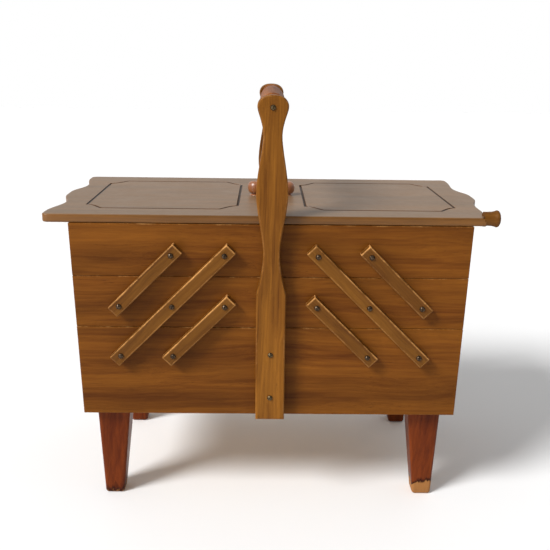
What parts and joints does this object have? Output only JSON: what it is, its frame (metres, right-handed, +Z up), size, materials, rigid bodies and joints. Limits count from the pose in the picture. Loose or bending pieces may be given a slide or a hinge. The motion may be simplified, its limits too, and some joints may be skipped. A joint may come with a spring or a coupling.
{
  "type": "cantilever sewing box",
  "caption": "Wooden sewing box on tapered legs, with trays that swing up and out on parallel arms, hinged scalloped lids and a turned carrying handle.",
  "frame": {"origin": "on the floor, under the middle of the shut box", "axes": "+X to the right along the length, +Y to the back, +Z up; the handle lies along Y"},
  "size_m": [0.481, 0.2824, 0.464],
  "materials": {
    "body_veneer": "satin brown wood-grain veneer, grain running level",
    "lid_veneer": "satin brown wood-grain veneer with a dark cut line",
    "trim_wood": "satin lighter brown wood, grain along the length",
    "leg_wood": "gloss red-brown stained wood, worn at the feet",
    "turned_wood": "gloss orange-brown turned wood",
    "inner_wood": "plain light wood, thin lacquer",
    "tray_ply": "matt plywood",
    "brass_screw": "dulled brass",
    "steel_screw": "dull steel",
    "hinge_brass": "brassed steel"
  },
  "bodies": {
    "base": {"base_front_board": "body_veneer", "base_back_board": "body_veneer", "base_left_end": "body_veneer", "base_right_end": "body_veneer", "base_bottom_panel": "tray_ply", "front_left_leg": "leg_wood", "back_left_leg": "leg_wood", "front_right_leg": "leg_wood", "back_right_leg": "leg_wood", "leg_screws": "steel_screw", "front_upright": "trim_wood", "back_upright": "trim_wood", "handle_bar": "turned_wood", "upright_screws": "brass_screw", "base_pivot_screws": "brass_screw"},
    "left_long_arms": {"left_front_long_arm": "trim_wood", "left_back_long_arm": "trim_wood"},
    "left_lower_arms": {"left_lower_arms": "trim_wood"},
    "left_upper_arms": {"left_upper_arms": "trim_wood"},
    "left_middle_tray": {"left_middle_tray_front_board": "body_veneer", "left_middle_tray_back_board": "body_veneer", "left_middle_tray_outer_end": "body_veneer", "left_middle_tray_inner_end": "inner_wood", "left_middle_tray_bottom": "tray_ply", "left_middle_tray_pivot_screws": "brass_screw"},
    "left_top_tray": {"left_top_tray_front_board": "body_veneer", "left_top_tray_back_board": "body_veneer", "left_top_tray_outer_end": "body_veneer", "left_top_tray_inner_end": "inner_wood", "left_top_tray_bottom": "tray_ply", "left_top_tray_pivot_screws": "brass_screw", "left_top_tray_divider": "inner_wood", "left_hinge_tray_leaves": "hinge_brass"},
    "left_lid": {"left_lid_panel": "lid_veneer", "left_lid_knob": "turned_wood", "left_knob_screw": "steel_screw", "left_hinge_lid_leaves": "hinge_brass"},
    "right_long_arms": {"right_front_long_arm": "trim_wood", "right_back_long_arm": "trim_wood"},
    "right_lower_arms": {"right_lower_arms": "trim_wood"},
    "right_upper_arms": {"right_upper_arms": "trim_wood"},
    "right_middle_tray": {"right_middle_tray_front_board": "body_veneer", "right_middle_tray_back_board": "body_veneer", "right_middle_tray_outer_end": "body_veneer", "right_middle_tray_inner_end": "inner_wood", "right_middle_tray_bottom": "tray_ply", "right_middle_tray_pivot_screws": "brass_screw"},
    "right_top_tray": {"right_top_tray_front_board": "body_veneer", "right_top_tray_back_board": "body_veneer", "right_top_tray_outer_end": "body_veneer", "right_top_tray_inner_end": "inner_wood", "right_top_tray_bottom": "tray_ply", "right_top_tray_pivot_screws": "brass_screw", "right_top_tray_divider": "inner_wood", "right_hinge_tray_leaves": "hinge_brass"},
    "right_lid": {"right_lid_panel": "lid_veneer", "right_lid_knob": "turned_wood", "right_knob_screw": "steel_screw", "right_hinge_lid_leaves": "hinge_brass", "right_lid_end_knob": "turned_wood"}
  },
  "joints": [
    {"name": "left_open", "type": "hinge", "parent": "base", "child": "left_long_arms", "pos_m": [-0.161, 0, 0.1855], "axis": [0, -1, 0], "range_deg": [0, 90]},
    {"name": "left_middle_level", "type": "hinge", "parent": "left_long_arms", "child": "left_middle_tray", "pos_m": [-0.105, 0, 0.2415], "axis": [0, -1, 0], "range_deg": [-90, 0]},
    {"name": "left_top_level", "type": "hinge", "parent": "left_long_arms", "child": "left_top_tray", "pos_m": [-0.049, 0, 0.2975], "axis": [0, -1, 0], "range_deg": [-90, 0]},
    {"name": "left_lower_arm", "type": "hinge", "parent": "base", "child": "left_lower_arms", "pos_m": [-0.105, 0, 0.1855], "axis": [0, -1, 0], "range_deg": [0, 90]},
    {"name": "left_upper_arm", "type": "hinge", "parent": "left_middle_tray", "child": "left_upper_arms", "pos_m": [-0.161, 0, 0.2415], "axis": [0, -1, 0], "range_deg": [0, 90]},
    {"name": "left_lid", "type": "hinge", "parent": "left_top_tray", "child": "left_lid", "pos_m": [-0.2148, 0, 0.32917], "axis": [0, -1, 0], "range_deg": [0, 92]},
    {"name": "right_open", "type": "hinge", "parent": "base", "child": "right_long_arms", "pos_m": [0.161, 0, 0.1855], "axis": [0, 1, 0], "range_deg": [0, 90]},
    {"name": "right_middle_level", "type": "hinge", "parent": "right_long_arms", "child": "right_middle_tray", "pos_m": [0.105, 0, 0.2415], "axis": [0, 1, 0], "range_deg": [-90, 0]},
    {"name": "right_top_level", "type": "hinge", "parent": "right_long_arms", "child": "right_top_tray", "pos_m": [0.049, 0, 0.2975], "axis": [0, 1, 0], "range_deg": [-90, 0]},
    {"name": "right_lower_arm", "type": "hinge", "parent": "base", "child": "right_lower_arms", "pos_m": [0.105, 0, 0.1855], "axis": [0, 1, 0], "range_deg": [0, 90]},
    {"name": "right_upper_arm", "type": "hinge", "parent": "right_middle_tray", "child": "right_upper_arms", "pos_m": [0.161, 0, 0.2415], "axis": [0, 1, 0], "range_deg": [0, 90]},
    {"name": "right_lid", "type": "hinge", "parent": "right_top_tray", "child": "right_lid", "pos_m": [0.2148, 0, 0.32917], "axis": [0, 1, 0], "range_deg": [0, 92]}
  ],
  "couplings": [
    {"joint": "left_middle_level", "follows": "left_open", "ratio": -1},
    {"joint": "left_top_level", "follows": "left_open", "ratio": -1},
    {"joint": "left_lower_arm", "follows": "left_open", "ratio": 1},
    {"joint": "left_upper_arm", "follows": "left_open", "ratio": 1},
    {"joint": "right_middle_level", "follows": "right_open", "ratio": -1},
    {"joint": "right_top_level", "follows": "right_open", "ratio": -1},
    {"joint": "right_lower_arm", "follows": "right_open", "ratio": 1},
    {"joint": "right_upper_arm", "follows": "right_open", "ratio": 1}
  ]
}
